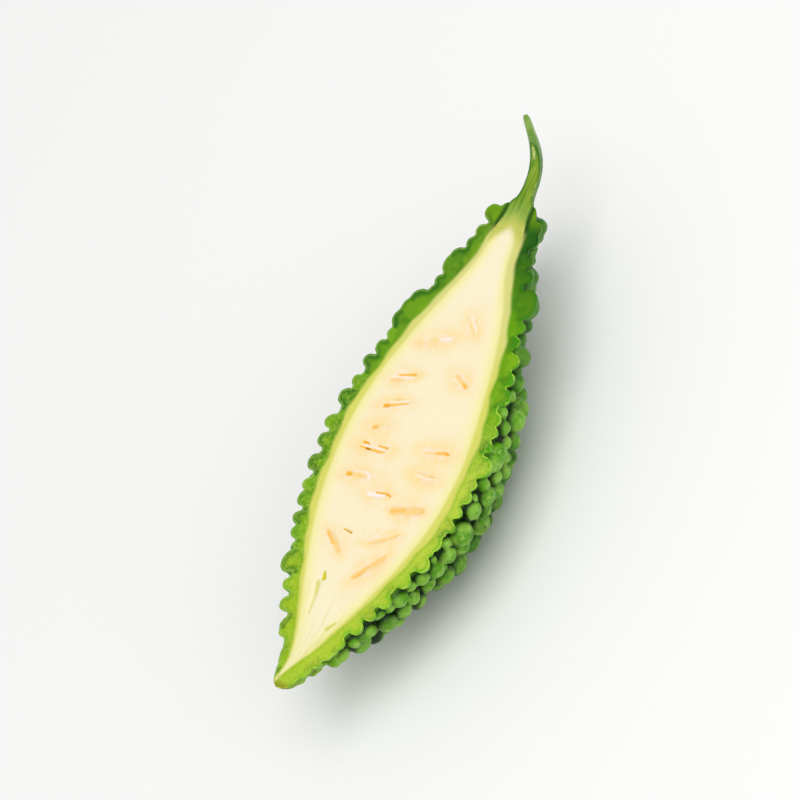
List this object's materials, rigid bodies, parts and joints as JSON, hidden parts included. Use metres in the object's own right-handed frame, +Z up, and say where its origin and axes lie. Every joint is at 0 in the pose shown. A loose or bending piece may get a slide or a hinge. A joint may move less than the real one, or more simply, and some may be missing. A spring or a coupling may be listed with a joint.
{
  "type": "bitter gourd half",
  "caption": "Half of a bitter gourd cut lengthwise through its stem, with a warty green rind, pale pith and cut seeds, lying on its back.",
  "frame": {"origin": "on the surface that the half lies on, under the middle of its length and width", "axes": "+X from the blossom tip to the stem, +Z up out of the level cut face"},
  "size_m": [0.2012, 0.0696, 0.0334],
  "materials": {
    "rind": "waxy green skin with a soft sheen",
    "pith": "moist, spongy cut flesh",
    "stem": "smooth ridged stalk, pale where cut",
    "seed": "moist cut seed"
  },
  "bodies": {
    "root": {"rind": "rind", "pith": "pith", "stem": "stem", "seed_01": "seed", "seed_02": "seed", "seed_03": "seed", "seed_04": "seed", "seed_05": "seed", "seed_06": "seed", "seed_07": "seed", "seed_08": "seed", "seed_09": "seed", "seed_10": "seed", "seed_11": "seed", "seed_12": "seed", "seed_13": "seed", "seed_14": "seed", "seed_15": "seed"}
  },
  "joints": []
}
